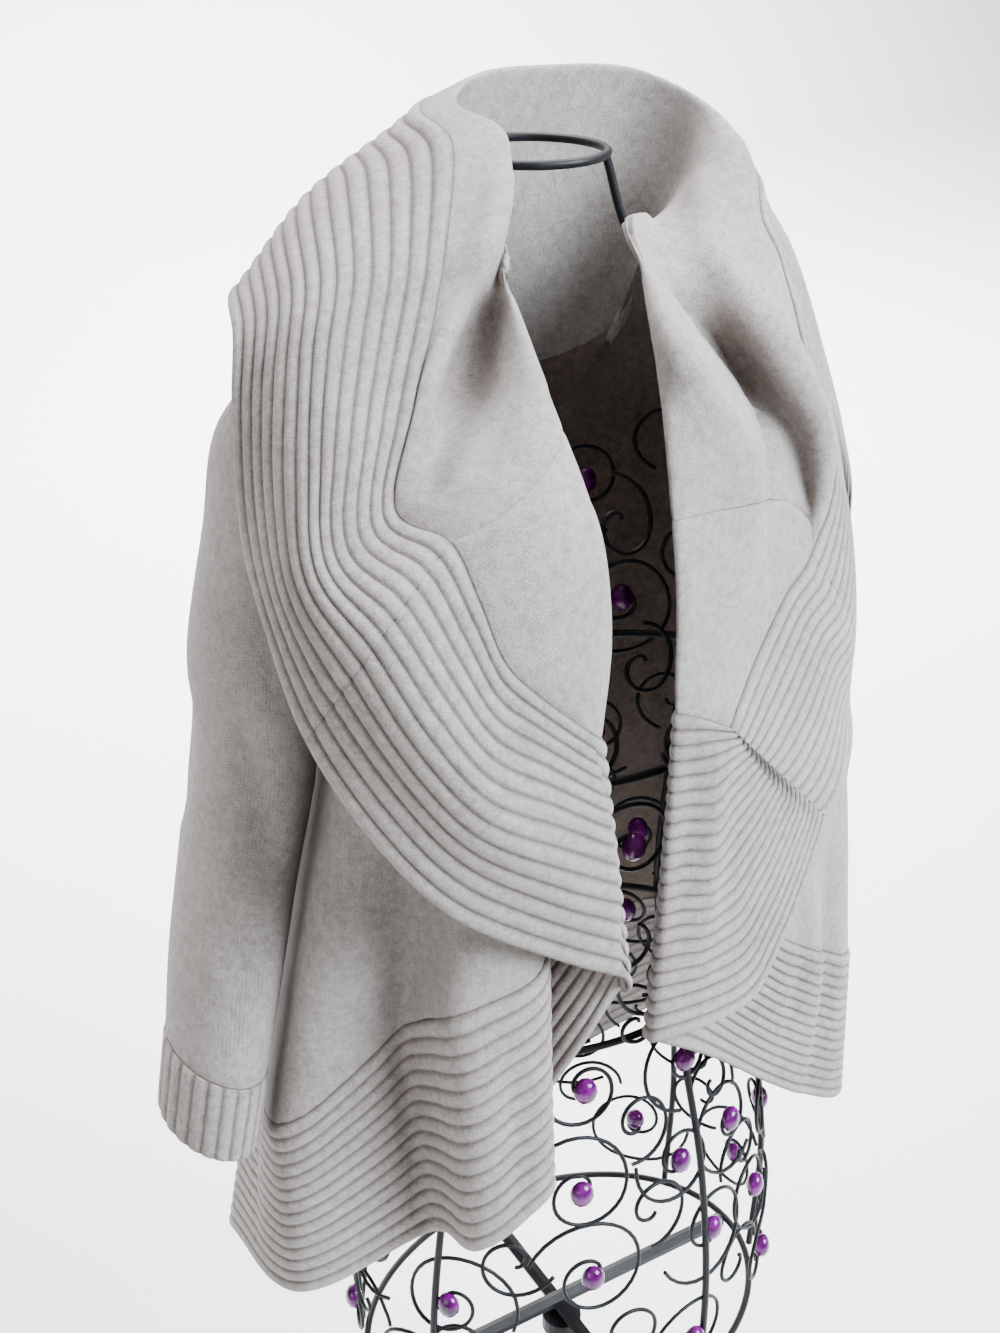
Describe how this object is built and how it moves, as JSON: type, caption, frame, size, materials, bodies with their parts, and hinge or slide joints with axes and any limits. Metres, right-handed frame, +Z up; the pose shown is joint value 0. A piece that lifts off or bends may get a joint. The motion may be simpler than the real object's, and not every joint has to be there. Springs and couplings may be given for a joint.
{
  "type": "shawl collar cardigan on wire dress form",
  "caption": "Open shawl collar cardigan in plain wool with a wide ribbed edge and waterfall corners, draped on a limbless wire dress form with a round base.",
  "frame": {"origin": "centre of the base's underside, on the surface that the form stands on", "axes": "+Z up, -Y the way that the cardigan faces, +X towards the wearer's left"},
  "size_m": [0.5395, 0.3286, 1.0887],
  "materials": {
    "wool": "brushed fine wool knit in oatmeal melange, with ribs on the band and the cuffs",
    "painted_wire": "satin black paint on steel wire"
  },
  "bodies": {
    "root": {"back": "wool", "front_right": "wool", "front_left": "wool", "lapel_right": "wool", "lapel_left": "wool", "collar": "wool", "hem_band_right": "wool", "hem_band_back": "wool", "hem_band_left": "wool", "lapel_band_right": "wool", "lapel_band_left": "wool", "collar_band": "wool", "sleeve_right": "wool", "sleeve_left": "wool", "cuff_right": "wool", "cuff_left": "wool", "form_hip_hoop": "painted_wire", "form_waist_hoop": "painted_wire", "form_bust_hoop": "painted_wire", "form_neck_ring": "painted_wire", "form_upright_1": "painted_wire", "form_upright_2": "painted_wire", "form_upright_3": "painted_wire", "form_upright_4": "painted_wire", "form_upright_5": "painted_wire", "form_upright_6": "painted_wire", "form_cross_bar": "painted_wire", "form_deep_bar": "painted_wire", "form_pole": "painted_wire", "form_base": "painted_wire"}
  },
  "joints": []
}
